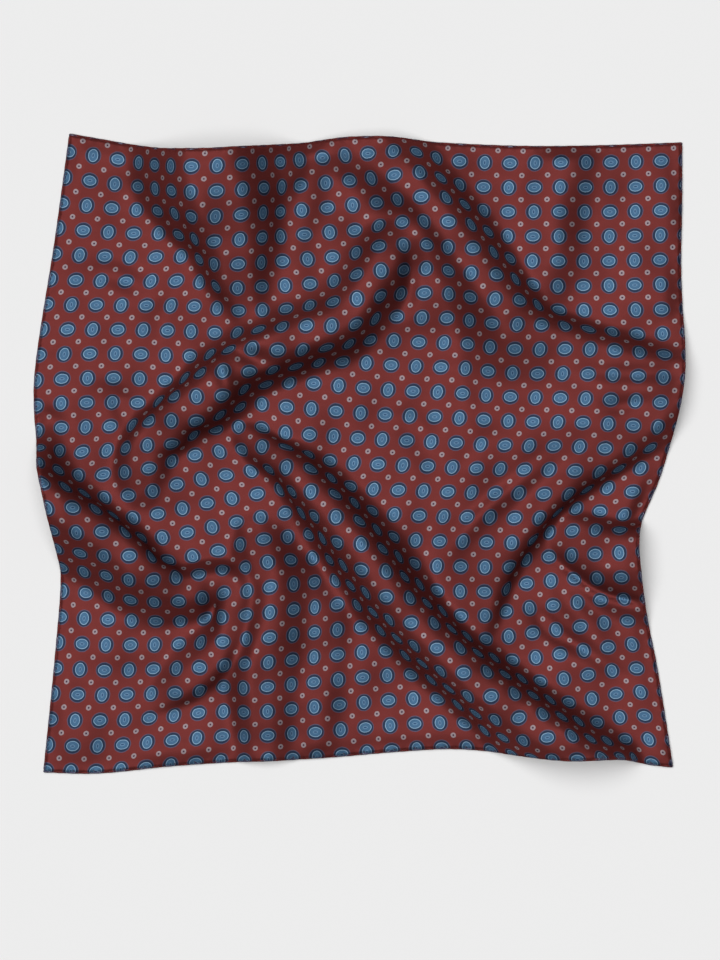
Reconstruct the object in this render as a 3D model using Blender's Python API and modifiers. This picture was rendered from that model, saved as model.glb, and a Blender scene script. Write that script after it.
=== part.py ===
# Pocket square: one square of silk twill with four rolled hems, lying in loose folds on a table.
# The folds are described on the flat cloth. The cloth keeps its cut lengths, so where it climbs a
# fold its plan spacing shrinks, and it fills the outline it has on the table.

import bpy
import numpy as np

# Driving sizes, in millimetres. The flat cloth is measured across from its left edge and down
# from its top edge. The laid cloth is measured right and up from the middle of the table area.
mm = 0.001
cut = 330.0
wallThick = 1.0
hemRadius = 1.0
seamGap = 0.3
hemWidth = 2 * hemRadius + seamGap
panelCells = 48
laidCells = 54

# How the plan is evened out: passes over the threads, and how firmly the weave resists shear.
passes = 1500
pullShare = 0.22
carryShare = 0.9
shearShare = 0.12
steepest = 0.12

# How two folds that meet share their height: higher values keep the taller one.
meetPower = 2.5
# The flank of a fold: higher values make it straighter between a tighter crest and foot.
flankPower = 5
stepsAlong = 160
leastWide = 1.0

silkRed = (0.30, 0.045, 0.032, 1.0)
hemRed = (0.24, 0.034, 0.026, 1.0)
silkRough = 0.45

# Crest of each fold, a row for each section along it: across, down and height, then for its left
# side and its right, going along the rows, the width of its rounded top and how steep its flank is
# (the climb of each millimetre of cloth, where 1 is upright).
folds = {
    "topLeftRidge": [
        (80, -11, 31, 11, 0.70, 6, 0.74),
        (81, 10, 30, 11, 0.70, 5, 0.77),
        (86, 30, 27, 12, 0.70, 4, 0.85),
        (92, 50, 22, 10, 0.72, 2, 0.90),
        (97, 69, 16, 8, 0.74, 2, 0.88),
        (101, 83, 8, 6, 0.60, 2, 0.80),
        (104, 95, 0, 4, 0.30, 3, 0.40),
    ],
    "middleRidge": [
        (192, 34, 0, 6, 0.40, 4, 0.40),
        (179, 61, 15, 3, 0.82, 4, 0.72),
        (156, 89, 20, 3, 0.84, 3, 0.84),
        (135, 99, 21, 4, 0.86, 3, 0.90),
        (117, 107, 23, 4, 0.90, 2, 0.93),
        (102, 117, 22, 5, 0.90, 2, 0.94),
        (89, 131, 20, 6, 0.88, 3, 0.94),
        (74, 144, 15, 6, 0.86, 4, 0.93),
        (61, 160, 9, 5, 0.66, 6, 0.75),
        (55, 190, 0, 3, 0.30, 3, 0.30),
    ],
    "northSwell": [
        (172, 52, 5, 6, 0.20, 20, 0.18),
        (147, 80, 9, 6, 0.30, 20, 0.20),
        (120, 94, 9, 6, 0.30, 20, 0.22),
        (92, 110, 5, 6, 0.30, 20, 0.20),
        (70, 128, 0, 6, 0.20, 16, 0.20),
    ],
    "topRightRidge": [
        (172, -3, 11, 4, 0.72, 8, 0.50),
        (190, 22, 18, 3, 0.84, 5, 0.86),
        (214, 53, 20, 3, 0.87, 4, 0.94),
        (239, 85, 18, 3, 0.88, 4, 0.66),
        (258, 100, 14, 4, 0.86, 6, 0.30),
        (290, 111, 11, 5, 0.80, 8, 0.24),
        (338, 122, 7, 5, 0.64, 8, 0.25),
    ],
    "middleSwell": [
        (170, 38, 0, 10, 0.20, 8, 0.22),
        (181, 58, 6, 10, 0.20, 8, 0.26),
        (195, 76, 7, 10, 0.20, 8, 0.22),
        (211, 95, 4, 10, 0.20, 8, 0.16),
        (230, 110, 0, 10, 0.20, 8, 0.16),
    ],
    "leftRidge": [
        (-8, 184, 28, 5, 0.92, 4, 0.70),
        (12, 197, 23, 4, 0.93, 4, 0.70),
        (32, 212, 19, 3, 0.94, 4, 0.68),
        (48, 227, 15, 2, 0.94, 4, 0.64),
        (64, 235, 10, 3, 0.92, 5, 0.60),
        (79, 235, 8, 3, 0.82, 5, 0.76),
        (90, 240, 9, 4, 0.87, 4, 0.92),
        (93, 252, 9.5, 4, 0.93, 4, 0.93),
        (89, 265, 9, 4, 0.93, 4, 0.80),
        (80, 277, 7.5, 4, 0.90, 4, 0.54),
        (67, 288, 5, 4, 0.76, 4, 0.40),
        (46, 299, 0, 3, 0.30, 3, 0.30),
    ],
    "bigRidge": [
        (109, 157, 0, 3, 0.40, 3, 0.40),
        (124, 170, 9, 3, 0.85, 3, 0.80),
        (140, 183, 18, 2, 0.93, 2, 0.92),
        (160, 206, 25, 2, 0.94, 2, 0.94),
        (175, 226, 28, 2, 0.94, 2, 0.94),
        (196, 252, 28, 2, 0.94, 2, 0.93),
        (234, 291, 27, 3, 0.94, 3, 0.92),
        (281, 338, 25, 4, 0.90, 5, 0.90),
    ],
    "rightRidge": [
        (338, 112, 7, 7, 0.60, 6, 0.35),
        (308, 145, 12, 6, 0.84, 5, 0.30),
        (279, 173, 15, 5, 0.88, 4, 0.38),
        (258, 203, 13, 5, 0.88, 4, 0.38),
        (247, 233, 7, 4, 0.80, 4, 0.30),
        (241, 258, 0, 4, 0.40, 4, 0.30),
    ],
    "edgeRidge": [
        (339, 217, 16, 9, 0.45, 4, 0.92),
        (313, 215, 11, 8, 0.45, 5, 0.82),
        (284, 203, 0, 6, 0.35, 6, 0.40),
    ],
    "lowRidge": [
        (105, 202, 0, 3, 0.30, 3, 0.40),
        (109, 228, 10, 4, 0.66, 4, 0.76),
        (112, 248, 13, 4, 0.52, 4, 0.80),
        (108, 278, 12, 4, 0.44, 4, 0.76),
        (108, 323, 6, 4, 0.40, 3, 0.56),
    ],
}

# Outline of the laid cloth, right and up: a row for each point that its edge turns through.
outline = {
    "top": [
        (-144.5, 160), (-119, 155.5), (-92, 150.5), (-61, 151), (-17, 156.5),
        (11, 157.6), (44, 155.3), (80, 153.8), (120, 154.1), (161, 155.5),
    ],
    "right": [
        (161, 155.5), (161, 124), (160.5, 92), (162, 48), (158.5, 20), (150.5, -10),
        (140.5, -34), (138.6, -46), (141.6, -72), (148.5, -106), (156.5, -156),
    ],
    "bottom": [
        (-157.5, -158.5), (-130, -159), (-94, -155.5), (-59, -153.2), (-21, -151.6),
        (17, -148.4), (48, -146.9), (80, -149.6), (106, -151.2), (128, -150.4),
        (144, -154.6), (156.5, -156),
    ],
    "left": [
        (-144.5, 160), (-152, 105.5), (-160.5, 51.5), (-162.2, 26), (-159.3, -2),
        (-150.7, -46.5), (-148.8, -64), (-151.7, -101), (-157.5, -158.5),
    ],
}


def smoothCurve(rows, steps):
    # A curve through every row, with all its columns.
    row = np.asarray(rows, float)
    last = len(row) - 1
    row = np.vstack([2 * row[0] - row[1], row, 2 * row[-1] - row[-2]])
    t = np.linspace(0, last, steps)
    k = np.minimum(t.astype(int), last - 1)
    f = (t - k)[:, None]
    a, b, c, d = row[k], row[k + 1], row[k + 2], row[k + 3]
    return 0.5 * (2 * b + (c - a) * f + (2 * a - 5 * b + 4 * c - d) * f ** 2
                  + (3 * b - a - 3 * c + d) * f ** 3)


def flank(far, top, steepness):
    # Height this far from the shoulder of a fold with this top. It is steepest half way down.
    rounding = (flankPower + 1) / flankPower
    t = np.clip(far / np.maximum(top * rounding / steepness, leastWide), 0, 1)
    s = 2 * t - 1
    fall = t - (s * np.abs(s) ** flankPower + 1) / (2 * (flankPower + 1))
    return top * (1 - fall * rounding)


def height(across, down):
    # Height of the cloth's underside over the table at places on the flat cloth.
    place = np.column_stack([np.ravel(across), np.ravel(down)])
    total = np.zeros(len(place))
    for rows in folds.values():
        crest = smoothCurve(rows, stepsAlong)
        along = np.gradient(crest[:, :2], axis=0)
        along /= np.hypot(along[:, 0], along[:, 1])[:, None]
        away = place[:, None, :] - crest[None, :, :2]
        far = np.hypot(away[..., 0], away[..., 1])
        near = far.argmin(axis=1)
        pick = np.arange(len(place))
        off = away[pick, near]
        turn = along[near, 0] * off[:, 1] - along[near, 1] * off[:, 0]
        shoulder = np.where(turn < 0, crest[near, 3], crest[near, 5])
        steepness = np.where(turn < 0, crest[near, 4], crest[near, 6])
        top = np.maximum(crest[near, 2], 0)
        total += flank(far[pick, near] - shoulder, top, steepness) ** meetPower
    return (total ** (1 / meetPower)).reshape(np.shape(across))


def planLength(length, climb):
    # What a thread of this length covers in plan when its ends differ in height by climb.
    return np.sqrt(np.maximum(length ** 2 - climb ** 2, (steepest * length) ** 2))


def edgePoints(rows, lengths):
    # Points along one side of the outline, spaced as the edge's threads lie in plan.
    curve = smoothCurve(rows, 400)
    run = np.append(0, np.cumsum(np.hypot(*np.diff(curve, axis=0).T)))
    stop = np.append(0, np.cumsum(lengths))
    stop *= run[-1] / stop[-1]
    return np.column_stack([np.interp(stop, run, curve[:, 0]), np.interp(stop, run, curve[:, 1])])


def layOut(cells):
    # Plan of the laid cloth: a grid of points, each thread between them at its plan length.
    line = np.linspace(0, cut, cells + 1)
    across, down = np.meshgrid(line, line)
    up = height(across, down)
    step = cut / cells
    slant = step * 2 ** 0.5
    threads = [
        (np.s_[:, :-1], np.s_[:, 1:], step, 1.0),
        (np.s_[:-1, :], np.s_[1:, :], step, 1.0),
        (np.s_[:-1, :-1], np.s_[1:, 1:], slant, shearShare),
        (np.s_[:-1, 1:], np.s_[1:, :-1], slant, shearShare),
    ]
    threads = [(a, b, planLength(length, up[b] - up[a]), share) for a, b, length, share in threads]
    weft, warp = threads[0][2], threads[1][2]
    top = edgePoints(outline["top"], weft[0])
    bottom = edgePoints(outline["bottom"], weft[-1])
    left = edgePoints(outline["left"], warp[:, 0])
    right = edgePoints(outline["right"], warp[:, -1])

    # The start is a sheet blended between the four sides.
    s, t = (across / cut)[..., None], (down / cut)[..., None]
    plan = (1 - t) * top[None] + t * bottom[None] + (1 - s) * left[:, None] + s * right[:, None]
    plan -= (1 - s) * (1 - t) * top[0] + s * (1 - t) * top[-1]
    plan -= (1 - s) * t * bottom[0] + s * t * bottom[-1]

    drift = np.zeros_like(plan)
    for _ in range(passes):
        pull = np.zeros_like(plan)
        for a, b, length, share in threads:
            span = plan[b] - plan[a]
            now = np.maximum(np.hypot(span[..., 0], span[..., 1]), 1e-6)
            move = (share * (1 - length / now))[..., None] * span
            pull[a] += move
            pull[b] -= move
        drift = carryShare * drift + pullShare * pull
        for side in (np.s_[0], np.s_[-1], np.s_[:, 0], np.s_[:, -1]):
            drift[side] = 0
        plan += drift
    middle = (plan.reshape(-1, 2).min(axis=0) + plan.reshape(-1, 2).max(axis=0)) / 2
    return plan - middle


def laid(plan, across, down):
    # Where places on the flat cloth lie, underside, in metres.
    cells = len(plan) - 1
    x = np.clip(np.ravel(across) / cut * cells, 0, cells)
    y = np.clip(np.ravel(down) / cut * cells, 0, cells)
    i, j = np.minimum(x.astype(int), cells - 1), np.minimum(y.astype(int), cells - 1)
    s, t = (x - i)[:, None], (y - j)[:, None]
    flatPlace = ((1 - s) * (1 - t) * plan[j, i] + s * (1 - t) * plan[j, i + 1]
                 + (1 - s) * t * plan[j + 1, i] + s * t * plan[j + 1, i + 1])
    return np.column_stack([flatPlace, height(np.ravel(across), np.ravel(down))]) * mm


def unit(arrows):
    return arrows / np.linalg.norm(arrows, axis=1)[:, None]


def finish(thing, colour, group):
    # Each piece has its own material and sits in the collection of the whole.
    look = bpy.data.materials.new(thing.name + "_silk")
    look.use_nodes = True
    shader = look.node_tree.nodes["Principled BSDF"]
    shader.inputs["Base Color"].default_value = colour
    shader.inputs["Roughness"].default_value = silkRough
    shader.inputs["Metallic"].default_value = 0.0
    thing.data.materials.append(look)
    for old in list(thing.users_collection):
        old.objects.unlink(thing)
    group.objects.link(thing)


def makePanel(plan, group):
    # A flat grid, laid in its folds and given a wall upward from its underside.
    bpy.ops.mesh.primitive_grid_add(x_subdivisions=panelCells, y_subdivisions=panelCells, size=1)
    panel = bpy.context.object
    panel.name = "panel"
    points = np.empty(len(panel.data.vertices) * 3)
    panel.data.vertices.foreach_get("co", points)
    points = points.reshape(-1, 3)
    inside = cut - 2 * hemWidth
    across = hemWidth + (points[:, 0] + 0.5) * inside
    down = hemWidth + (0.5 - points[:, 1]) * inside
    panel.data.vertices.foreach_set("co", laid(plan, across, down).ravel())
    panel.data.shade_smooth()
    # Each cell is split along the fold that crosses it, so crests stay unbroken.
    split = panel.modifiers.new("split", "TRIANGULATE")
    split.quad_method = "LONGEST_DIAGONAL"
    wall = panel.modifiers.new("wall", "SOLIDIFY")
    wall.thickness = wallThick * mm
    wall.offset = 1
    wall.use_even_offset = True
    finish(panel, silkRed, group)


def makeHem(plan, name, start, end, inward, overrun, group):
    # A rolled hem: a round cord of cloth along one edge of the panel, made from that edge's points
    # moved out by its radius and the seam gap, and up the same radius. Start and end are corners of
    # the panel on the flat cloth, and overrun carries both ends past them.
    across = np.linspace(start[0], end[0], panelCells + 1)
    down = np.linspace(start[1], end[1], panelCells + 1)
    edge = laid(plan, across, down)
    inner = laid(plan, across + inward[0], down + inward[1])
    along = unit(np.gradient(edge, axis=0))
    normal = unit(np.cross(along, inner - edge))
    normal *= np.sign(normal[:, 2:])
    out = unit(np.cross(along, normal))
    out *= np.sign(np.sum(out * (edge - inner), axis=1))[:, None]
    points = edge + out * (hemRadius + seamGap) * mm + normal * hemRadius * mm
    points[0] -= along[0] * overrun * mm
    points[-1] += along[-1] * overrun * mm
    points[:, 2] = np.maximum(points[:, 2], hemRadius * mm)
    data = bpy.data.curves.new(name, "CURVE")
    data.dimensions = "3D"
    data.bevel_depth = hemRadius * mm
    data.bevel_resolution = 2
    data.use_fill_caps = True
    line = data.splines.new("POLY")
    line.points.add(len(points) - 1)
    line.points.foreach_set("co", np.column_stack([points, np.ones(len(points))]).ravel())
    hem = bpy.data.objects.new(name, data)
    finish(hem, hemRed, group)


def build():
    for old in list(bpy.data.objects):
        bpy.data.objects.remove(old, do_unlink=True)
    group = bpy.data.collections.new("pocket_square")
    bpy.context.scene.collection.children.link(group)
    plan = layOut(laidCells)
    makePanel(plan, group)
    near, far = hemWidth, cut - hemWidth
    makeHem(plan, "hem_top", (near, near), (far, near), (0, hemWidth), hemWidth, group)
    makeHem(plan, "hem_bottom", (near, far), (far, far), (0, -hemWidth), hemWidth, group)
    makeHem(plan, "hem_left", (near, near), (near, far), (hemWidth, 0), 0, group)
    makeHem(plan, "hem_right", (far, near), (far, far), (-hemWidth, 0), 0, group)


build()
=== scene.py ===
import math

import bpy
import numpy as np
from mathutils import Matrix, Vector


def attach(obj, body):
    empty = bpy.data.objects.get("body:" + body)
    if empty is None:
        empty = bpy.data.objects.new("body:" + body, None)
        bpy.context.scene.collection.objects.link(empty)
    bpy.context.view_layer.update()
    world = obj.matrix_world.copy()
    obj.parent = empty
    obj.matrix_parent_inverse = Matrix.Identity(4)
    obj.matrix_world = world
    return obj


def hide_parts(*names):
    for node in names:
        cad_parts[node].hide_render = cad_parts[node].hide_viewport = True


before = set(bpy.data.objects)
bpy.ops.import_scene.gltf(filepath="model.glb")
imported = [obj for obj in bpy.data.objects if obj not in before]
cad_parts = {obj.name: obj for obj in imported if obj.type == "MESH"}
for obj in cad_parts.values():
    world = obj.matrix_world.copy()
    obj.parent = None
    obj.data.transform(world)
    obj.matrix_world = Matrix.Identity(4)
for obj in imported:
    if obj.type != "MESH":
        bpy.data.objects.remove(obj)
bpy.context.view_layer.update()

mm = 0.001

photo = {
    "wide": 720,                    # the photograph's frame, in pixels
    "high": 960,
    "pixel": 0.4968 * mm,           # what one pixel covers at the cloth
    "clothMiddle": (359, 453.5),    # where the middle of the cloth lies in that frame
    "clothHeight": 6 * mm,          # the level that the pixel size is measured at
    "distance": 1.9,                # from that level up to the camera
    "sensor": 36,
    "clip": (0.05, 50),             # the nearest and the farthest that it sees
}

studio = {
    "keyStrength": 3.12,
    "keyFrom": (-0.20, 0.10, 1.0),  # right, away from the reader and up
    "keySpread": math.radians(60),  # wide, so that the shadows are soft
    "fillStrength": 0.06,
    "fillColour": (1.0, 1.0, 1.0, 1),
    "tableColour": (0.82, 0.82, 0.82, 1),
    "tableRough": 0.9,
    "tableSpecular": 0.0,
    "tableSize": 12.0,
}


def makeCamera():
    data = bpy.data.cameras.new("photoView")
    camera = bpy.data.objects.new("photoView", data)
    bpy.context.collection.objects.link(camera)
    right = (photo["wide"] / 2 - photo["clothMiddle"][0]) * photo["pixel"]
    up = (photo["clothMiddle"][1] - photo["high"] / 2) * photo["pixel"]
    camera.location = (right, up, photo["clothHeight"] + photo["distance"])
    data.sensor_width = photo["sensor"]
    data.lens = photo["sensor"] * photo["distance"] / (photo["high"] * photo["pixel"])
    data.clip_start, data.clip_end = photo["clip"]
    bpy.context.scene.camera = camera


def makeStudio():
    world = bpy.data.worlds.new("studioFill")
    bpy.context.scene.world = world
    world.use_nodes = True
    sky = world.node_tree.nodes["Background"]
    sky.inputs["Color"].default_value = studio["fillColour"]
    sky.inputs["Strength"].default_value = studio["fillStrength"]
    lamp = bpy.data.lights.new("softboxKey", "SUN")
    lamp.energy = studio["keyStrength"]
    lamp.angle = studio["keySpread"]
    key = bpy.data.objects.new("softboxKey", lamp)
    key.rotation_euler = Vector(studio["keyFrom"]).to_track_quat("Z", "Y").to_euler()
    bpy.context.collection.objects.link(key)
    bpy.context.scene.view_settings.view_transform = "Standard"


def makeTable():
    bpy.ops.mesh.primitive_plane_add(size=studio["tableSize"])
    table = bpy.context.object
    table.name = "table"
    look = Look("tableTop")
    look.feed(Base_Color=studio["tableColour"], Roughness=studio["tableRough"])
    look.feed(Specular_IOR_Level=studio["tableSpecular"])
    table.data.materials.append(look.material)


class Signal:
    # One value that varies from place to place. Python's operators on it add Math nodes.
    def __init__(self, home, socket):
        self.home = home
        self.socket = socket

    def math(self, operation, *values):
        sockets = dict(enumerate(values))
        return self.home.add("ShaderNodeMath", {"operation": operation}, sockets)

    def __add__(self, other):
        return self.math("ADD", self, other)

    def __sub__(self, other):
        return self.math("SUBTRACT", self, other)

    def __mul__(self, other):
        return self.math("MULTIPLY", self, other)

    def __radd__(self, other):
        return self.math("ADD", other, self)

    def __rsub__(self, other):
        return self.math("SUBTRACT", other, self)

    def __rmul__(self, other):
        return self.math("MULTIPLY", other, self)

    def floor(self):
        return self.math("FLOOR", self)

    def modulo(self, whole):
        return self.math("FLOORED_MODULO", self, whole)

    def sine(self):
        return self.math("SINE", self)

    def least(self, other):
        return self.math("MINIMUM", self, other)

    def below(self, limit):
        # 1 under the limit and 0 over it.
        return self.math("LESS_THAN", self, limit)

    def bearing(self, across):
        # The angle of a direction that goes this far up and that far across.
        return self.math("ARCTAN2", self, across)

    def between(self, low, high):
        # A soft step from 0 at low to 1 at high.
        sockets = {"Value": self, "From Min": low, "From Max": high}
        return self.home.add("ShaderNodeMapRange", {"interpolation_type": "SMOOTHSTEP"}, sockets)


class Nodes:
    # A tree of nodes that is built from values and links.
    def add(self, kind, settings, sockets, output=0):
        # A node with its settings, then the values or links of its sockets. Gives one output.
        node = self.tree.nodes.new(kind)
        for name, value in settings.items():
            setattr(node, name, value)
        for name, value in sockets.items():
            self.join(node.inputs[name], value)
        return Signal(self, node.outputs[output])

    def join(self, socket, value):
        if isinstance(value, Signal):
            self.tree.links.new(value.socket, socket)
        else:
            socket.default_value = value

    def apart(self, vector, axis):
        return self.add("ShaderNodeSeparateXYZ", {}, {"Vector": vector}, axis)

    def together(self, **parts):
        return self.add("ShaderNodeCombineXYZ", {}, parts)

    def vectorMath(self, operation, sockets, output=0):
        return self.add("ShaderNodeVectorMath", {"operation": operation}, sockets, output)


class Look(Nodes):
    # A material and the nodes behind its shader.
    def __init__(self, name):
        self.material = bpy.data.materials.new(name)
        self.material.use_nodes = True
        self.tree = self.material.node_tree
        self.shader = self.tree.nodes["Principled BSDF"]

    def blend(self, share, first, second):
        # The first colour where share is 0 and the second where it is 1.
        return self.add("ShaderNodeMix", {"data_type": "RGBA"}, {0: share, 6: first, 7: second}, 2)

    def feed(self, **sockets):
        for name, value in sockets.items():
            self.join(self.shader.inputs[name.replace("_", " ")], value)


class Growth(Nodes):
    # A Geometry Nodes tree that grows a piece from a mesh.
    def __init__(self, name):
        self.tree = bpy.data.node_groups.new(name, "GeometryNodeTree")
        self.entry = self.tree.nodes.new("NodeGroupInput")
        self.sizes = {}
        self.seed = self.entrance("Path", "NodeSocketGeometry")

    def entrance(self, name, kind):
        self.tree.interface.new_socket(name=name, in_out="INPUT", socket_type=kind)
        return Signal(self, self.entry.outputs[name])

    def size(self, name, value):
        # A named input of the tree, and the value that the modifier gives it.
        self.sizes[name] = value
        kind = "NodeSocketInt" if isinstance(value, int) else "NodeSocketFloat"
        return self.entrance(name, kind)

    def stored(self, name, kind="FLOAT_VECTOR"):
        return self.add("GeometryNodeInputNamedAttribute", {"data_type": kind}, {"Name": name})

    def store(self, shape, name, value, kind, domain):
        settings = {"data_type": kind, "domain": domain}
        sockets = {"Geometry": shape, "Name": name, "Value": value}
        return self.add("GeometryNodeStoreNamedAttribute", settings, sockets)

    def path(self):
        # The mesh's chain of edges as a curve.
        return self.add("GeometryNodeMeshToCurve", {}, {"Mesh": self.seed})

    def circle(self, sides, radius):
        sockets = {"Resolution": sides, "Radius": radius}
        return self.add("GeometryNodeCurvePrimitiveCircle", {}, sockets)

    def tube(self, path, circle, **sockets):
        # The circle carried along the path, with closed ends.
        sockets.update({"Curve": path, "Profile Curve": circle, "Fill Caps": True})
        return self.add("GeometryNodeCurveToMesh", {}, sockets)

    def end(self, shape, material):
        # The last nodes: real geometry with its material.
        shape = self.add("GeometryNodeSetShadeSmooth", {}, {"Geometry": shape})
        shape = self.add("GeometryNodeRealizeInstances", {}, {"Geometry": shape})
        shape = self.add("GeometryNodeSetMaterial", {}, {"Geometry": shape, "Material": material})
        kind = "NodeSocketGeometry"
        self.tree.interface.new_socket(name="Piece", in_out="OUTPUT", socket_type=kind)
        leave = self.tree.nodes.new("NodeGroupOutput")
        self.tree.links.new(shape.socket, leave.inputs["Piece"])

    def grow(self, thing):
        # Runs the tree on a mesh object, which keeps the result as a plain mesh.
        modifier = thing.modifiers.new("growth", "NODES")
        modifier.node_group = self.tree
        for item in self.tree.interface.items_tree:
            if item.name in self.sizes:
                modifier[item.identifier] = self.sizes[item.name]
        ready = thing.evaluated_get(bpy.context.evaluated_depsgraph_get())
        mesh = bpy.data.meshes.new_from_object(ready)
        thing.modifiers.clear()
        thing.data = mesh


# The repeat: an oval in each cell, its long way across and down by turns, and a small ring at
# each corner between four ovals. Lengths are in millimetres on the flat cloth.
repeat = {
    "acrossPitch": 12.24,
    "downPitch": 12.3,
    "acrossStart": 0.1,     # in cells, to the middle of the first oval
    "downStart": 0.73,
    "edgeBlur": 0.07,
    "wander": 0.14,         # how far the printed edges stray
    "wanderSize": 1.7,      # of the patches that they stray in
}

# Ovals from the outside in: half its long way, half its short way, and its colour.
ovals = [
    (4.24, 3.98, (0.095, 0.074, 0.115, 1)),
    (3.92, 3.58, (0.022, 0.034, 0.064, 1)),
    (3.12, 2.44, (0.180, 0.290, 0.405, 1)),
    (2.70, 2.04, (0.030, 0.076, 0.150, 1)),
    (2.48, 1.82, (0.056, 0.126, 0.215, 1)),
    (1.26, 0.72, (0.115, 0.210, 0.320, 1)),
    (0.82, 0.34, (0.030, 0.070, 0.145, 1)),
]

ring = {
    "outside": 1.30,        # its radius
    "inside": 0.46,
    "colour": (0.260, 0.205, 0.220, 1),
    "centre": (0.05, 0.03, 0.05, 1),
}

twill = {
    "pitch": 0.46,          # from one wale to the next, across the wales
    "lean": 1.15,           # how steeply the wales climb
    "yarn": 0.21,           # from one yarn to the next
    "waleShare": 0.5,       # of the wales in the weave's height
    "yarnShare": 0.18,
    "depth": 0.035 * mm,
    "strength": 0.55,
}


def clothPlace(look):
    # Across and down on the flat cloth, in millimetres.
    place = look.add("ShaderNodeUVMap", {"uv_map": "flatCloth"}, {})
    across = look.apart(place, 0) * drape["cut"]
    down = (1 - look.apart(place, 1)) * drape["cut"]
    return across, down


def cloudy(look, across, down, size):
    # Soft noise about 0, with patches of this size in millimetres.
    sockets = {"Vector": look.together(X=across, Y=down), "Scale": 1 / size}
    return look.add("ShaderNodeTexNoise", {"noise_dimensions": "2D"}, sockets) - 0.5


def within(look, along, aside, halfLong, halfShort):
    # 1 inside an oval and 0 outside it.
    sockets = {0: look.together(X=along, Y=aside), 1: (1 / halfLong, 1 / halfShort, 0)}
    far = look.vectorMath("LENGTH", {0: look.vectorMath("MULTIPLY", sockets)}, 1)
    soft = repeat["edgeBlur"] / halfShort
    return far.between(1 + soft, 1 - soft)


def printColour(look, across, down):
    # The repeat, printed on the dyed ground.
    sway = repeat["wander"] * 2
    across = across + cloudy(look, across, down, repeat["wanderSize"]) * sway
    down = down + cloudy(look, down, across, repeat["wanderSize"]) * sway
    column = across * (1 / repeat["acrossPitch"]) - repeat["acrossStart"]
    row = down * (1 / repeat["downPitch"]) - repeat["downStart"]

    # Small rings at the corners of the cells.
    cornerAcross = (column - column.floor() - 0.5) * repeat["acrossPitch"]
    cornerDown = (row - row.floor() - 0.5) * repeat["downPitch"]
    paint = silk["ground"]
    for size, colour in ((ring["outside"], ring["colour"]), (ring["inside"], ring["centre"])):
        paint = look.blend(within(look, cornerAcross, cornerDown, size, size), paint, colour)

    # Ovals in the middles of the cells, turned in every other one.
    cellAcross = (column + 0.5).floor()
    cellDown = (row + 0.5).floor()
    turned = (cellAcross + cellDown).modulo(2)
    right = (column - cellAcross) * repeat["acrossPitch"]
    below = (row - cellDown) * repeat["downPitch"]
    along = right + (below - right) * turned
    aside = below + (right - below) * turned
    for halfLong, halfShort, colour in ovals:
        paint = look.blend(within(look, along, aside, halfLong, halfShort), paint, colour)
    return paint


def twillHeight(across, down):
    # Wales that climb across the cloth, cut by the yarns that make them.
    reach = math.hypot(1, twill["lean"])
    wale = ((across + down * twill["lean"]) * (math.tau / (twill["pitch"] * reach))).sine()
    yarn = (down * (math.tau / twill["yarn"])).sine()
    return wale * twill["waleShare"] + yarn * twill["yarnShare"]


silk = {
    "ground": (0.143, 0.0285, 0.0265, 1),
    "rough": 0.58,
    "specular": 0.04,
    "edgeTint": (0.15, 0.15, 0.15, 1),  # the yarns reflect little at grazing angles
    "gloss": 0.6,           # share of the light that the yarns reflect in the dye's own colour
    "driftSize": 34,        # a slow drift of shade over the cloth
    "driftShade": 0.10,
    "slubSize": 3.2,        # thicker stretches of yarn
    "slubStretch": 0.12,    # lower makes them longer
    "slubShade": 0.12,
    "slubRough": 0.10,
    # painted shade: the twill's low yarns are darkened, as if shade lay in its grooves
    "grooveShade": 0.07,
    "weaveRough": 0.03,
    "puckerEvery": 5.0,     # small gathers that the hem stitches pull
    "puckerReach": 4.0,
    "puckerDepth": 0.16 * mm,
    "puckerStrength": 1.0,
    "wrongSideFade": 0.35,
}


def puckerHeight(across, down):
    # Gathers along the edges: 0 away from them.
    gathers = []
    for place, other in ((across, down), (down, across)):
        inset = place.least(drape["cut"] - place)
        wave = (other * (math.tau / silk["puckerEvery"])).sine()
        gathers.append(inset.between(silk["puckerReach"], 0) * wave)
    return gathers[0] + gathers[1]


def silkLook(name, fade=0.0):
    # Printed silk. Fade mixes the ground into the print, as on the wrong side.
    look = Look(name)
    across, down = clothPlace(look)
    paint = printColour(look, across, down)
    if fade:
        paint = look.blend(fade, paint, silk["ground"])
    weave = twillHeight(across, down)
    slub = cloudy(look, across * silk["slubStretch"], down, silk["slubSize"])
    drift = cloudy(look, across, down, silk["driftSize"])
    # The print is darkened by tone that drifts and slubs at random, and by painted shade in the
    # twill's grooves.
    shade = 1 + drift * silk["driftShade"] + slub * silk["slubShade"] + weave * silk["grooveShade"]
    dark = look.add("ShaderNodeCombineColor", {}, {0: shade, 1: shade, 2: shade})
    settings = {"data_type": "RGBA", "blend_type": "MULTIPLY"}
    paint = look.add("ShaderNodeMix", settings, {0: 1.0, 6: paint, 7: dark}, 2)
    rough = silk["rough"] + slub * silk["slubRough"] - weave * silk["weaveRough"]
    gathers = {"Height": puckerHeight(across, down), "Distance": silk["puckerDepth"]}
    gathers["Strength"] = silk["puckerStrength"]
    raised = {"Height": weave, "Strength": twill["strength"], "Distance": twill["depth"]}
    raised["Normal"] = look.add("ShaderNodeBump", {}, gathers)
    bump = look.add("ShaderNodeBump", {}, raised)
    look.feed(Base_Color=paint, Roughness=rough, Normal=bump, Metallic=silk["gloss"])
    look.feed(Specular_IOR_Level=silk["specular"], Specular_Tint=silk["edgeTint"])
    return look.material


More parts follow.
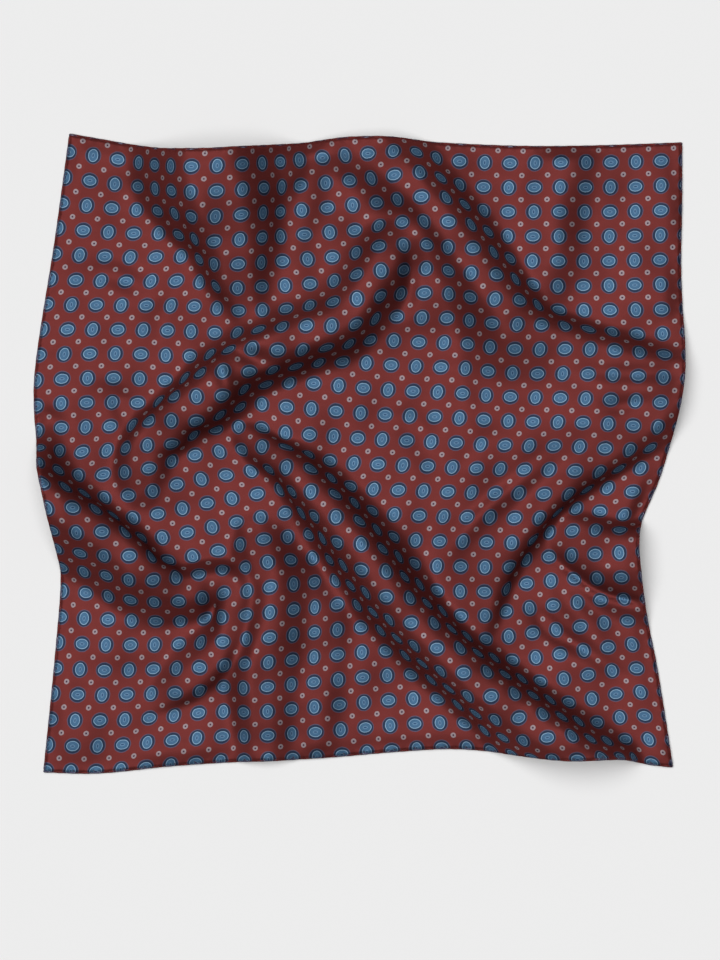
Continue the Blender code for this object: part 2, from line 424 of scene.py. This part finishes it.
# Lengths are in millimetres. The flat cloth is measured across from its left edge and down from
# its top edge, the laid cloth right and up from the middle of the table area.
drape = {
    "cut": 330.0,
    "cells": 54,            # of the plan that the threads are evened out on
    "passes": 1500,
    "pull": 0.22,           # share of a thread's misfit that one pass mends
    "carry": 0.9,           # share of a pass's move that the next one carries on
    "shear": 0.12,          # how firmly the weave resists shear
    "steepest": 0.12,       # least share of its length that a thread keeps in plan
    "leastGap": 1e-6,
    "meet": 2.5,            # two folds that meet: higher keeps the taller one
    "flank": 5,             # higher makes a flank straighter between crest and foot
    "leastWide": 1.0,       # of a flank
    "stepsAlong": 160,      # of a crest
    "stepsAround": 400,     # of each side of the outline
    "fineCells": 220,       # of the smooth sheet that every piece is read from
    "softening": 3,         # passes that round off what is sharp
    "lift": 0.1,            # of the silk's underside over the table
    "hemProp": 1.05,        # how far the rolled hem props the cloth's edge up
    "propReach": 7.0,
}

# Crest of each fold, a row for each section along it: across, down and height, then for its left
# side and its right, going along the rows, the width of its rounded top and how steep its flank is
# (the climb of each millimetre of cloth, where 1 is upright).
folds = {
    "topLeftRidge": [
        (80, -11, 31, 11, 0.70, 6, 0.74),
        (81, 10, 30, 11, 0.70, 5, 0.77),
        (86, 30, 27, 12, 0.70, 4, 0.85),
        (92, 50, 22, 10, 0.72, 2, 0.90),
        (97, 69, 16, 8, 0.74, 2, 0.88),
        (101, 83, 8, 6, 0.60, 2, 0.80),
        (104, 95, 0, 4, 0.30, 3, 0.40),
    ],
    "middleRidge": [
        (192, 34, 0, 6, 0.40, 4, 0.40),
        (179, 61, 15, 3, 0.82, 4, 0.72),
        (156, 89, 20, 3, 0.84, 3, 0.84),
        (135, 99, 21, 4, 0.86, 3, 0.90),
        (117, 107, 23, 4, 0.90, 2, 0.93),
        (102, 117, 22, 5, 0.90, 2, 0.94),
        (89, 131, 20, 6, 0.88, 3, 0.94),
        (74, 144, 15, 6, 0.86, 4, 0.93),
        (61, 160, 9, 5, 0.66, 6, 0.75),
        (55, 190, 0, 3, 0.30, 3, 0.30),
    ],
    "northSwell": [
        (172, 52, 5, 6, 0.20, 20, 0.18),
        (147, 80, 9, 6, 0.30, 20, 0.20),
        (120, 94, 9, 6, 0.30, 20, 0.22),
        (92, 110, 5, 6, 0.30, 20, 0.20),
        (70, 128, 0, 6, 0.20, 16, 0.20),
    ],
    "topRightRidge": [
        (172, -3, 11, 4, 0.72, 8, 0.50),
        (190, 22, 18, 3, 0.84, 5, 0.86),
        (214, 53, 20, 3, 0.87, 4, 0.94),
        (239, 85, 18, 3, 0.88, 4, 0.66),
        (258, 100, 14, 4, 0.86, 6, 0.30),
        (290, 111, 11, 5, 0.80, 8, 0.24),
        (338, 122, 7, 5, 0.64, 8, 0.25),
    ],
    "middleSwell": [
        (170, 38, 0, 10, 0.20, 8, 0.22),
        (181, 58, 6, 10, 0.20, 8, 0.26),
        (195, 76, 7, 10, 0.20, 8, 0.22),
        (211, 95, 4, 10, 0.20, 8, 0.16),
        (230, 110, 0, 10, 0.20, 8, 0.16),
    ],
    "leftRidge": [
        (-8, 184, 28, 5, 0.92, 4, 0.70),
        (12, 197, 23, 4, 0.93, 4, 0.70),
        (32, 212, 19, 3, 0.94, 4, 0.68),
        (48, 227, 15, 2, 0.94, 4, 0.64),
        (64, 235, 10, 3, 0.92, 5, 0.60),
        (79, 235, 8, 3, 0.82, 5, 0.76),
        (90, 240, 9, 4, 0.87, 4, 0.92),
        (93, 252, 9.5, 4, 0.93, 4, 0.93),
        (89, 265, 9, 4, 0.93, 4, 0.80),
        (80, 277, 7.5, 4, 0.90, 4, 0.54),
        (67, 288, 5, 4, 0.76, 4, 0.40),
        (46, 299, 0, 3, 0.30, 3, 0.30),
    ],
    "bigRidge": [
        (109, 157, 0, 3, 0.40, 3, 0.40),
        (124, 170, 9, 3, 0.85, 3, 0.80),
        (140, 183, 18, 2, 0.93, 2, 0.92),
        (160, 206, 25, 2, 0.94, 2, 0.94),
        (175, 226, 28, 2, 0.94, 2, 0.94),
        (196, 252, 28, 2, 0.94, 2, 0.93),
        (234, 291, 27, 3, 0.94, 3, 0.92),
        (281, 338, 25, 4, 0.90, 5, 0.90),
    ],
    "rightRidge": [
        (338, 112, 7, 7, 0.60, 6, 0.35),
        (308, 145, 12, 6, 0.84, 5, 0.30),
        (279, 173, 15, 5, 0.88, 4, 0.38),
        (258, 203, 13, 5, 0.88, 4, 0.38),
        (247, 233, 7, 4, 0.80, 4, 0.30),
        (241, 258, 0, 4, 0.40, 4, 0.30),
    ],
    "edgeRidge": [
        (339, 217, 16, 9, 0.45, 4, 0.92),
        (313, 215, 11, 8, 0.45, 5, 0.82),
        (284, 203, 0, 6, 0.35, 6, 0.40),
    ],
    "lowRidge": [
        (105, 202, 0, 3, 0.30, 3, 0.40),
        (109, 228, 10, 4, 0.66, 4, 0.76),
        (112, 248, 13, 4, 0.52, 4, 0.80),
        (108, 278, 12, 4, 0.44, 4, 0.76),
        (108, 323, 6, 4, 0.40, 3, 0.56),
    ],
}

# Outline of the laid cloth, right and up: the points that each side passes through.
outline = {
    "top": [
        (-144.5, 160), (-119, 155.5), (-92, 150.5), (-61, 151), (-17, 156.5),
        (11, 157.6), (44, 155.3), (80, 153.8), (120, 154.1), (161, 155.5),
    ],
    "right": [
        (161, 155.5), (161, 124), (160.5, 92), (162, 48), (158.5, 20), (150.5, -10),
        (140.5, -34), (138.6, -46), (141.6, -72), (148.5, -106), (156.5, -156),
    ],
    "bottom": [
        (-157.5, -158.5), (-130, -159), (-94, -155.5), (-59, -153.2), (-21, -151.6),
        (17, -148.4), (48, -146.9), (80, -149.6), (106, -151.2), (128, -150.4),
        (144, -154.6), (156.5, -156),
    ],
    "left": [
        (-144.5, 160), (-152, 105.5), (-160.5, 51.5), (-162.2, 26), (-159.3, -2),
        (-150.7, -46.5), (-148.8, -64), (-151.7, -101), (-157.5, -158.5),
    ],
}


def smoothCurve(rows, steps):
    # A curve through every row, with all its columns.
    row = np.asarray(rows, float)
    last = len(row) - 1
    row = np.vstack([2 * row[0] - row[1], row, 2 * row[-1] - row[-2]])
    t = np.linspace(0, last, steps)
    k = np.minimum(t.astype(int), last - 1)
    f = (t - k)[:, None]
    a, b, c, d = row[k], row[k + 1], row[k + 2], row[k + 3]
    return 0.5 * (2 * b + (c - a) * f + (2 * a - 5 * b + 4 * c - d) * f ** 2
                  + (3 * b - a - 3 * c + d) * f ** 3)


def flank(far, top, steepness):
    # Height this far from the shoulder of a fold with this top. It is steepest half way down.
    power = drape["flank"]
    rounding = (power + 1) / power
    t = np.clip(far / np.maximum(top * rounding / steepness, drape["leastWide"]), 0, 1)
    s = 2 * t - 1
    fall = t - (s * np.abs(s) ** power + 1) / (2 * (power + 1))
    return top * (1 - fall * rounding)


def nearest(rows, place):
    # For each place, the row of a crest nearest to it, its distance, and the side it lies on.
    crest = smoothCurve(rows, drape["stepsAlong"])
    along = np.gradient(crest[:, :2], axis=0)
    along /= np.hypot(along[:, 0], along[:, 1])[:, None]
    away = place[:, None, :] - crest[None, :, :2]
    far = np.hypot(away[..., 0], away[..., 1])
    near = far.argmin(axis=1)
    pick = np.arange(len(place))
    off = away[pick, near]
    turn = along[near, 0] * off[:, 1] - along[near, 1] * off[:, 0]
    return crest[near], far[pick, near], turn < 0


def height(across, down):
    # Height of the cloth's underside over the table at places on the flat cloth.
    place = np.column_stack([across.ravel(), down.ravel()])
    total = np.zeros(len(place))
    for rows in folds.values():
        crest, far, onLeft = nearest(rows, place)
        shoulder = np.where(onLeft, crest[:, 3], crest[:, 5])
        steepness = np.where(onLeft, crest[:, 4], crest[:, 6])
        top = np.maximum(crest[:, 2], 0)
        total += flank(far - shoulder, top, steepness) ** drape["meet"]
    return (total ** (1 / drape["meet"])).reshape(across.shape)


def edgePoints(rows, lengths):
    # Points along one side of the outline, spaced as the edge's threads lie in plan.
    curve = smoothCurve(rows, drape["stepsAround"])
    run = np.append(0, np.cumsum(np.hypot(*np.diff(curve, axis=0).T)))
    stop = np.append(0, np.cumsum(lengths))
    stop *= run[-1] / stop[-1]
    return np.column_stack([np.interp(stop, run, curve[:, 0]), np.interp(stop, run, curve[:, 1])])


def layOut(cells):
    # Plan of the laid cloth: a grid of points, each thread between them at its plan length.
    cut = drape["cut"]
    line = np.linspace(0, cut, cells + 1)
    across, down = np.meshgrid(line, line)
    up = height(across, down)
    step = cut / cells
    slant = step * 2 ** 0.5
    threads = []
    for a, b, length, share in (
        (np.s_[:, :-1], np.s_[:, 1:], step, 1.0),
        (np.s_[:-1, :], np.s_[1:, :], step, 1.0),
        (np.s_[:-1, :-1], np.s_[1:, 1:], slant, drape["shear"]),
        (np.s_[:-1, 1:], np.s_[1:, :-1], slant, drape["shear"]),
    ):
        least = (drape["steepest"] * length) ** 2
        plan = np.sqrt(np.maximum(length ** 2 - (up[b] - up[a]) ** 2, least))
        threads.append((a, b, plan, share))
    weft, warp = threads[0][2], threads[1][2]
    top = edgePoints(outline["top"], weft[0])
    bottom = edgePoints(outline["bottom"], weft[-1])
    left = edgePoints(outline["left"], warp[:, 0])
    right = edgePoints(outline["right"], warp[:, -1])

    # The start is a sheet blended between the four sides.
    s = (across / cut)[..., None]
    t = (down / cut)[..., None]
    plan = (1 - t) * top[None] + t * bottom[None] + (1 - s) * left[:, None] + s * right[:, None]
    plan -= (1 - s) * (1 - t) * top[0] + s * (1 - t) * top[-1]
    plan -= (1 - s) * t * bottom[0] + s * t * bottom[-1]

    drift = np.zeros_like(plan)
    for _ in range(drape["passes"]):
        pull = np.zeros_like(plan)
        for a, b, length, share in threads:
            span = plan[b] - plan[a]
            now = np.maximum(np.hypot(span[..., 0], span[..., 1]), drape["leastGap"])
            move = (share * (1 - length / now))[..., None] * span
            pull[a] += move
            pull[b] -= move
        drift = drape["carry"] * drift + drape["pull"] * pull
        for side in (np.s_[0], np.s_[-1], np.s_[:, 0], np.s_[:, -1]):
            drift[side] = 0
        plan += drift
    return plan - (plan.min(axis=(0, 1)) + plan.max(axis=(0, 1))) / 2


def curveShares(places, cells):
    # How much of each grid line a place has, for a smooth curve through the lines.
    stops = places * (cells / drape["cut"])
    k = np.clip(stops.astype(int), 0, cells - 1)
    f = stops - k
    shares = np.zeros((len(stops), cells + 3))
    rows = np.arange(len(stops))
    shares[rows, k] = (-f + 2 * f ** 2 - f ** 3) / 2
    shares[rows, k + 1] = (2 - 5 * f ** 2 + 3 * f ** 3) / 2
    shares[rows, k + 2] = (f + 4 * f ** 2 - 3 * f ** 3) / 2
    shares[rows, k + 3] = (f ** 3 - f ** 2) / 2
    for end, near, far in ((0, 1, 2), (-1, -2, -3)):
        shares[:, near] += 2 * shares[:, end]
        shares[:, far] -= shares[:, end]
    return shares[:, 1:-1]


def read(sheet, across, down):
    # Places of a sheet's grid where the lines across and the lines down cross.
    cells = len(sheet) - 1
    shares = (curveShares(down, cells), curveShares(across, cells))
    return np.einsum("ai,bj,ijk->abk", *shares, sheet, optimize=True)


def readAlong(sheet, across, down):
    # Places of a sheet's grid along a line of points.
    cells = len(sheet) - 1
    rows = np.tensordot(curveShares(down, cells), sheet, axes=(1, 0))
    return np.einsum("nik,ni->nk", rows, curveShares(across, cells))


# Soft waves that keep the flat parts from lying dead flat: length, direction in degrees, start
# in radians and height.
waves = [
    (61, 24, 0.3, 0.80),
    (47, 112, 2.1, 0.60),
    (34, 68, 4.0, 0.42),
    (27, 151, 1.2, 0.30),
    (19, 12, 5.1, 0.16),
    (15, 97, 3.3, 0.10),
]

# Small creases, as soft ridges and troughs: across, down, height and half width.
creases = {
    "acrossMiddleRidge": [
        (92, 107, 0.0, 5), (97, 116, 2.9, 5), (102, 127, 2.9, 5), (106, 138, 0.0, 5),
    ],
    "besideMiddleRidge": [
        (99, 106, 0.0, 5), (107, 110, -3.2, 6), (116, 113, -4.0, 7), (126, 112, 0.0, 6),
    ],
    "topCorner": [(271, -5, 4.5, 20), (269, 30, 4.5, 20), (267, 64, 3.4, 18), (265, 92, 0.0, 16)],
    "rightAcross": [
        (272, 117, 0.0, 6), (292, 119, -2.2, 7), (312, 118, -2.4, 7), (335, 115, -1.6, 7),
    ],
    "rightBelow": [(285, 137, 0.0, 6), (300, 135, -2.0, 6), (318, 131, 0.0, 6)],
    "leftEdge": [(-5, 138, -4.0, 10), (8, 140, -2.9, 9), (20, 150, 0.0, 8)],
    "leftSpotHigh": [(20, 62, 0.0, 9), (38, 70, -2.7, 9), (55, 80, 0.0, 9)],
    "leftSpotLow": [(30, 120, 0.0, 8), (42, 132, -2.2, 8), (50, 150, 0.0, 8)],
    "middleFaint": [(192, 138, 0.0, 12), (205, 155, -2.7, 12), (216, 176, 0.0, 10)],
    "hookInside": [(80, 234, 0.0, 7), (79, 250, -4.4, 8), (82, 266, 0.0, 7)],
    "hookOutside": [
        (102, 216, 0.0, 9), (104, 240, -2.4, 10), (99, 262, -2.8, 10), (86, 284, 0.0, 9),
    ],
    "bigAcrossOne": [(203, 252, 0.0, 4), (210, 245, 2.3, 4), (219, 240, 0.0, 4)],
    "bigAcrossTwo": [(214, 263, 0.0, 4), (221, 256, 2.3, 4), (230, 251, 0.0, 4)],
    "bigAcrossThree": [(226, 276, 0.0, 4), (233, 268, 2.7, 4), (242, 263, 0.0, 4)],
    "bigAcrossFour": [(238, 290, 0.0, 4), (246, 281, 2.7, 4), (255, 276, 0.0, 4)],
    "bigAcrossFive": [(251, 303, 0.0, 5), (259, 295, 2.7, 5), (268, 290, 0.0, 5)],
    "bigAcrossSix": [(264, 317, 0.0, 5), (271, 309, 2.3, 5), (279, 305, 0.0, 5)],
    "lowRightLong": [
        (270, 240, 0.0, 7), (282, 256, -3.6, 7), (297, 268, -2.9, 7), (318, 290, 0.0, 7),
    ],
    "lowRightShort": [(285, 226, 0.0, 8), (294, 246, 3.2, 9), (308, 260, 0.0, 8)],
    "edgeUnder": [
        (284, 217, 0.0, 4), (295, 227, -4.8, 4), (311, 239, -5.4, 4), (336, 247, -4.4, 4),
    ],
    "besideRightRidge": [
        (272, 160, 0.0, 6), (259, 175, -3.0, 8), (241, 193, -3.4, 8), (226, 214, 0.0, 7),
    ],
    "rightEdgeStrip": [(326, 172, 0.0, 6), (327, 188, -3.2, 6), (326, 203, 0.0, 6)],
    "bottomFaint": [(20, 262, 0.0, 8), (46, 262, -1.4, 8), (70, 258, 0.0, 8)],
    "northSwellFoot": [
        (140, -5, 5.0, 20), (137, 20, 4.4, 18), (132, 42, 2.4, 12), (126, 62, 0.0, 10),
    ],
    "lowRidgeFoot": [
        (136, 228, 0.0, 10), (143, 252, 3.4, 14), (141, 285, 3.4, 16), (133, 336, 2.6, 14),
    ],
    "upperMiddle": [(184, 56, 0.0, 6), (188, 70, -4.0, 7), (188, 86, -3.2, 8), (182, 98, 0.0, 8)],
}


def fineRelief(across, down):
    # The waves and small creases, which lie on top of the folds.
    place = np.column_stack([across.ravel(), down.ravel()])
    total = np.zeros(len(place))
    for length, direction, start, rise in waves:
        turn = math.radians(direction)
        run = place @ (math.cos(turn), math.sin(turn)) * (math.tau / length)
        total += rise * (1 + np.sin(run + start))
    for rows in creases.values():
        crest, far, _ = nearest(rows, place)
        total += crest[:, 2] * (1 + np.cos(np.pi * np.minimum(far / crest[:, 3], 1))) / 2
    return total.reshape(across.shape)


def layCloth():
    # The laid cloth as a fine smooth sheet of points, in millimetres.
    cut = drape["cut"]
    line = np.linspace(0, cut, drape["fineCells"] + 1)
    across, down = np.meshgrid(line, line)
    up = height(across, down)
    inset = np.minimum(np.minimum(across, cut - across), np.minimum(down, cut - down))
    nearEdge = np.clip(1 - inset / drape["propReach"], 0, 1)
    prop = drape["hemProp"] * nearEdge ** 2 * (3 - 2 * nearEdge)
    up = up + fineRelief(across, down) * (1 - nearEdge)
    for _ in range(drape["softening"]):
        wide = np.pad(up, 1, mode="edge")
        around = wide[:-2, 1:-1] + wide[2:, 1:-1] + wide[1:-1, :-2] + wide[1:-1, 2:]
        up = (around + 4 * up) / 8
    plan = read(layOut(drape["cells"]), line, line)
    return np.dstack([plan, np.maximum(up, 0) + prop + drape["lift"]])


panelSize = {
    "inset": 0.72,          # from the cut to where the hem takes over
    "cells": 208,
    "thick": 0.4 * mm,
}


def clothShares(across, down):
    # Places on the flat cloth as shares of the cut, right and up.
    return np.column_stack([across, drape["cut"] - down]) / drape["cut"]


def makePanel(sheet):
    cells = panelSize["cells"]
    bpy.ops.mesh.primitive_grid_add(x_subdivisions=cells, y_subdivisions=cells, size=1)
    panel = bpy.context.object
    panel.name = "printedPanel"
    line = np.linspace(panelSize["inset"], drape["cut"] - panelSize["inset"], cells + 1)
    # The grid's points run along its rows from the bottom one up.
    points = read(sheet, line, line[::-1]) * mm
    panel.data.vertices.foreach_set("co", points.ravel())
    across, down = np.meshgrid(line, line[::-1])
    flat = clothShares(across.ravel(), down.ravel())
    corner = np.empty(len(panel.data.loops), int)
    panel.data.loops.foreach_get("vertex_index", corner)
    layer = panel.data.uv_layers[0]
    layer.name = "flatCloth"
    layer.data.foreach_set("uv", flat[corner].ravel())
    panel.data.shade_smooth()
    panel.data.materials.append(silkLook("printedSilk"))
    panel.data.materials.append(silkLook("silkWrongSide", silk["wrongSideFade"]))
    wall = panel.modifiers.new("thickness", "SOLIDIFY")
    wall.thickness = panelSize["thick"]
    wall.offset = 1
    wall.material_offset = 1
    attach(panel, "root")
    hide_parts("panel")
    return panel


hemSize = {
    "radius": 0.75,
    "sides": 14,
    "every": 1.1,           # between points along the roll
    "roundEnd": 0.75,       # what each end takes to round off
    "endStops": (0, 0.08, 0.3, 0.65),   # of the points there, as shares of it
    "tip": 0.04,            # fullness of the very end
    "sink": 0.03,           # of the roll below the level that flat silk lies at
    "meeting": math.radians(92),    # where the panel meets the roll, up from its outer side
    "seam": math.radians(-165),     # where the roll's print starts again, hidden under the panel
    "uneven": 0.06,         # how much the fullness swells and shrinks
    "unevenSize": 7.0,
    "stray": 3,             # how far the swells stray from an even beat, in radians
    "straySize": 31,
    "fade": 0.4,
}

# Each hem on the flat cloth, anticlockwise: its start, its direction and the way in from the edge,
# as shares of the cut, and how far its ends stand back from the corners, in millimetres.
hems = {
    "top": {"start": (1, 0), "along": (-1, 0), "inward": (0, 1), "back": 0.0},
    "left": {"start": (0, 0), "along": (0, 1), "inward": (1, 0), "back": 1.1},
    "bottom": {"start": (0, 1), "along": (1, 0), "inward": (0, -1), "back": 0.0},
    "right": {"start": (1, 1), "along": (0, -1), "inward": (-1, 0), "back": 1.1},
}


def edgeLine(sheet, side, inset, stops):
    # Points of the laid cloth along one edge, this far in from it, with their upward directions
    # and their places on the flat cut.
    cut = drape["cut"]
    start, along, inward = (np.array(side[name], float) for name in ("start", "along", "inward"))
    flat = start * cut + stops[:, None] * along
    row = np.clip(flat + inward * inset, 0, cut)
    points = readAlong(sheet, *row.T)
    beside = readAlong(sheet, *np.clip(row + inward, 0, cut).T)
    up = np.cross(np.gradient(points, axis=0), beside - points)
    up /= np.linalg.norm(up, axis=1)[:, None]
    up *= np.sign(up[:, 2:])
    return points, up, flat


def pathObject(name, points, values):
    # A chain of edges that carries values at its points.
    data = bpy.data.meshes.new(name)
    chain = [(k, k + 1) for k in range(len(points) - 1)]
    data.from_pydata((points * mm).tolist(), chain, [])
    for key, value in values.items():
        kind = "FLOAT" if value.ndim == 1 else "FLOAT_VECTOR"
        field = "value" if value.ndim == 1 else "vector"
        layer = data.attributes.new(key, kind, "POINT")
        layer.data.foreach_set(field, value.ravel())
    thing = bpy.data.objects.new(name, data)
    bpy.context.collection.objects.link(thing)
    return thing


def hemGrowth(material):
    # A rolled hem: a tube along the edge, with the print carried on over the roll.
    growth = Growth("rolledHem")
    radius = growth.size("Radius", hemSize["radius"] * mm)
    sides = growth.size("Sides", hemSize["sides"])
    meeting = growth.size("Meeting", hemSize["meeting"])
    seam = growth.size("Seam", hemSize["seam"])
    reach = growth.size("Reach", hemSize["radius"] / drape["cut"])
    inset = growth.size("Inset", panelSize["inset"] / drape["cut"])
    sockets = {"Curve": growth.path(), "Normal": growth.stored("upward")}
    path = growth.add("GeometryNodeSetCurveNormal", {"mode": "FREE"}, sockets)
    place = growth.add("GeometryNodeInputPosition", {}, {})
    turn = growth.apart(place, 1).bearing(growth.apart(place, 0))
    turn = turn + turn.below(seam) * math.tau
    circle = growth.store(growth.circle(sides, radius), "around", turn, "FLOAT", "POINT")
    tube = growth.tube(path, circle, Scale=growth.stored("fullness", "FLOAT"))

    # From the panel's edge the print runs outward over the roll.
    inward = inset - (meeting - growth.stored("around", "FLOAT")) * reach
    shift = growth.vectorMath("SCALE", {0: growth.stored("flatInward"), "Scale": inward})
    flat = growth.vectorMath("ADD", {0: growth.stored("flatEdge"), 1: shift})
    growth.end(growth.store(tube, "flatCloth", flat, "FLOAT2", "CORNER"), material)
    return growth


def makeHems(sheet):
    growth = hemGrowth(silkLook("hemSilk", hemSize["fade"]))
    radius = hemSize["radius"]
    tip = hemSize["tip"]
    pieces = []
    for name, side in hems.items():
        length = drape["cut"] - 2 * side["back"]
        middle = np.linspace(0, length, int(length / hemSize["every"]))[1:-1]
        curl = hemSize["roundEnd"] * np.array(hemSize["endStops"])
        stops = np.concatenate([curl, middle, length - curl[::-1]])
        ends = np.minimum(np.minimum(stops, length - stops) / hemSize["roundEnd"], 1)
        fullness = np.sqrt(1 - (1 - ends) ** 2) * (1 - tip) + tip
        stray = hemSize["stray"] * np.sin(stops / hemSize["straySize"])
        swell = np.sin(stops * math.tau / hemSize["unevenSize"] + stray)
        fullness = fullness * (1 + hemSize["uneven"] * swell * ends)
        stops = stops + side["back"]
        points, up, flat = edgeLine(sheet, side, radius, stops)
        points = points + up * (radius - drape["hemProp"] - hemSize["sink"])
        right, down = side["inward"]
        values = {
            "upward": up,
            "fullness": fullness,
            "flatEdge": np.column_stack([clothShares(*flat.T), np.zeros(len(flat))]),
            "flatInward": np.tile([float(right), float(-down), 0.0], (len(flat), 1)),
        }
        hem = pathObject("rolledHem." + name, points, values)
        growth.grow(hem)
        for key in (*values, "around"):
            hem.data.attributes.remove(hem.data.attributes[key])
        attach(hem, "root")
        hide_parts("hem_" + name)
        pieces.append(hem)
    return pieces


stitchSize = {
    "every": 5.0,
    "pathStep": 1.0,        # between points of the line that they follow
    "length": 1.2,
    "thread": 0.10,         # half its thickness
    "sides": 6,
    "bends": 6,             # along each stitch
    "bow": 0.22,            # how far the thread stands up in the middle
    "slant": 0.8,           # how far it leans along the hem, for each part across it
    "inset": 1.55,          # of the stitches' middles from the cut
    "lift": 0.42,           # over the cloth's underside
    "shortest": 0.8,        # of the set length
    "longest": 1.15,
    "seed": 7,
    "colour": (0.115, 0.020, 0.018, 1),
    # painted shade: the thread's colour darkened in noise patches, as if shade lay between its
    # fibres
    "fibreGapShade": 0.7,          # share of that colour between the fibres
    "fibreScale": 3000.0,
    "rough": 0.6,
}


def threadLook():
    look = Look("hemThread")
    place = look.add("ShaderNodeTexCoord", {}, {}, 3)
    sockets = {"Vector": place, "Scale": stitchSize["fibreScale"]}
    fibre = look.add("ShaderNodeTexNoise", {}, sockets)
    # The thread's colour, with painted shade between its fibres laid on as noise.
    dark = tuple(stitchSize["fibreGapShade"] * part for part in stitchSize["colour"][:3]) + (1,)
    look.feed(Base_Color=look.blend(fibre, stitchSize["colour"], dark))
    look.feed(Roughness=stitchSize["rough"], Specular_IOR_Level=silk["specular"])
    return look.material


def stitchGrowth(material):
    # Small slanted threads across the groove, at even steps along it.
    growth = Growth("handStitches")
    every = growth.size("Every", stitchSize["every"] * mm)
    half = growth.size("Half length", stitchSize["length"] / 2 * mm)
    thread = growth.size("Thread", stitchSize["thread"] * mm)
    sides = growth.size("Sides", stitchSize["sides"])
    bends = growth.size("Bends", stitchSize["bends"])
    bow = growth.size("Bow", stitchSize["bow"] * 2 * mm)
    slant = growth.size("Slant", stitchSize["slant"])
    shortest = growth.size("Shortest", stitchSize["shortest"])
    longest = growth.size("Longest", stitchSize["longest"])
    seed = growth.size("Seed", stitchSize["seed"])
    sockets = {"Curve": growth.path(), "Length": every}
    line = growth.add("GeometryNodeResampleCurve", {"mode": "LENGTH"}, sockets)
    sockets = {"Resolution": bends, "Start": growth.together(X=0 - half)}
    sockets.update({"Middle": growth.together(Z=bow), "End": growth.together(X=half)})
    arc = growth.add("GeometryNodeCurveQuadraticBezier", {}, sockets)
    stitch = growth.tube(arc, growth.circle(sides, thread))
    run = growth.add("GeometryNodeInputTangent", {}, {})
    lean = growth.vectorMath("SCALE", {0: run, "Scale": slant})
    across = growth.vectorMath("ADD", {0: lean, 1: growth.stored("outward")})
    settings = {"primary_axis": "Z", "secondary_axis": "X"}
    sockets = {"Primary Axis": growth.stored("upward"), "Secondary Axis": across}
    facing = growth.add("FunctionNodeAxesToRotation", settings, sockets)
    sockets = {2: shortest, 3: longest, "Seed": seed}
    scale = growth.add("FunctionNodeRandomValue", {"data_type": "FLOAT"}, sockets, 1)
    sockets = {"Points": line, "Instance": stitch, "Rotation": facing}
    sockets["Scale"] = growth.together(X=scale, Y=1.0, Z=1.0)
    growth.end(growth.add("GeometryNodeInstanceOnPoints", {}, sockets), material)
    return growth


def makeStitches(sheet):
    growth = stitchGrowth(threadLook())
    every = stitchSize["every"]
    stops = np.arange(every, drape["cut"] - every, stitchSize["pathStep"])
    pieces = []
    for name, side in hems.items():
        points, up, _ = edgeLine(sheet, side, stitchSize["inset"], stops)
        edge, _, _ = edgeLine(sheet, side, 0, stops)
        points = points + up * stitchSize["lift"]
        outward = edge - points
        outward /= np.linalg.norm(outward, axis=1)[:, None]
        values = {"upward": up, "outward": outward}
        stitches = pathObject("hemStitches." + name, points, values)
        growth.grow(stitches)
        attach(stitches, "root")
        pieces.append(stitches)
    return pieces


makeCamera()
makeStudio()
makeTable()
print("stage: camera, light and table are set")
sheet = layCloth()
print("cloth: laid out,", sheet.shape, "highest", round(sheet[..., 2].max(), 1), "mm")
panel = makePanel(sheet)
print("panel: printed and laid")
hemPieces = makeHems(sheet)
print("hems: rolled,", sum(len(hem.data.polygons) for hem in hemPieces), "faces")
stitchPieces = makeStitches(sheet)
print("stitches: sewn,", sum(len(row.data.polygons) for row in stitchPieces), "faces")
